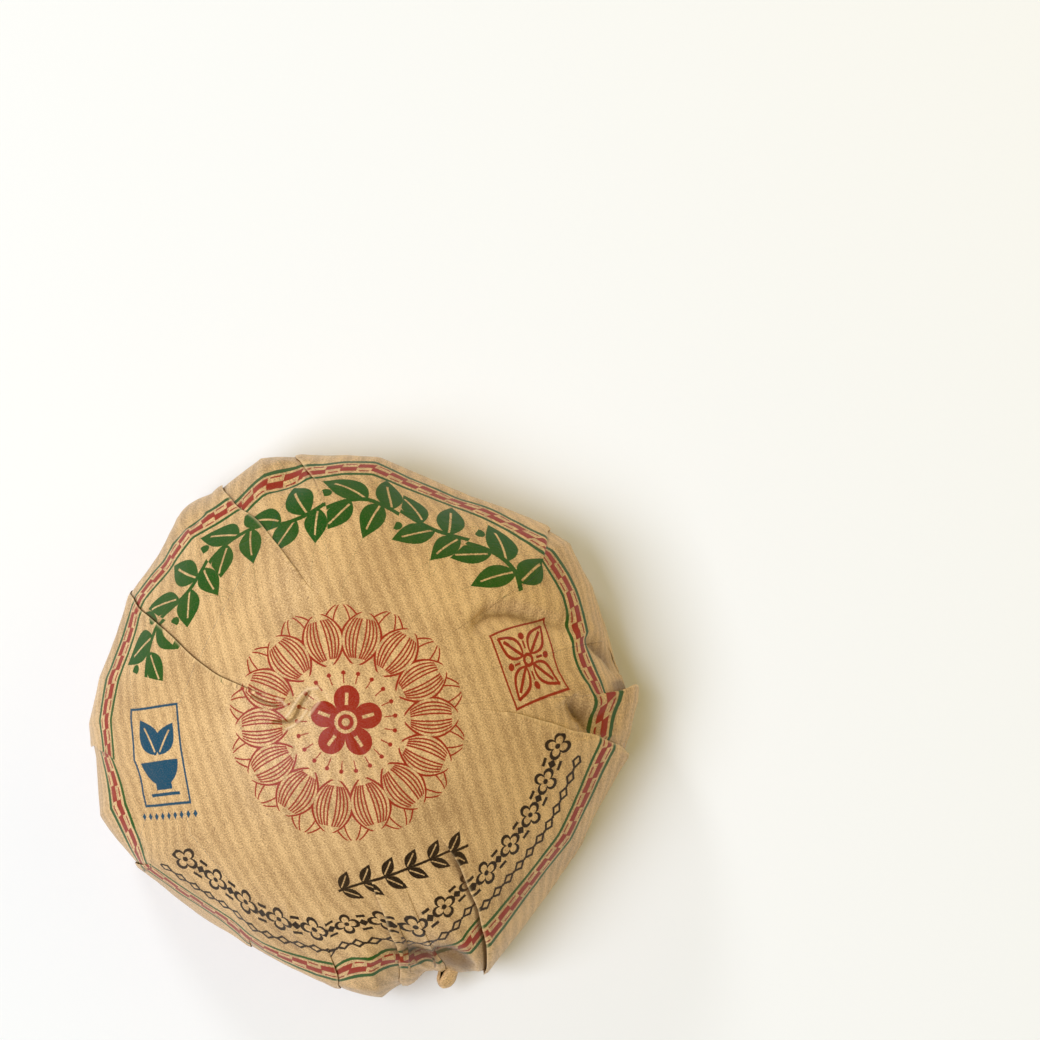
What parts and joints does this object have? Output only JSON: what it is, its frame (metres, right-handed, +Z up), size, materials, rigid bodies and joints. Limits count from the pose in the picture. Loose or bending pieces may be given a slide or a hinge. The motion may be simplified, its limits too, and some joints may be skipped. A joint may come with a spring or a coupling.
{
  "type": "paper-wrapped tuocha tea cake",
  "caption": "Nest-shaped pressed tea cake in a pleated kraft paper wrapper: domed top, pleated sides, paper gathered with a twist into the hollow underneath.",
  "frame": {"origin": "on the floor that the foot rests on, in the middle of the wrapped outline", "axes": "+Z up along the dome's axis, +Y towards the top of the print as pictured, +X to its right"},
  "size_m": [0.0884, 0.0872, 0.043],
  "materials": {
    "printed_kraft_paper": "thin ribbed kraft paper with a faint sheen, printed in green, red, blue and black"
  },
  "bodies": {
    "root": {"wrapped_tea_cake": "printed_kraft_paper"}
  },
  "joints": []
}
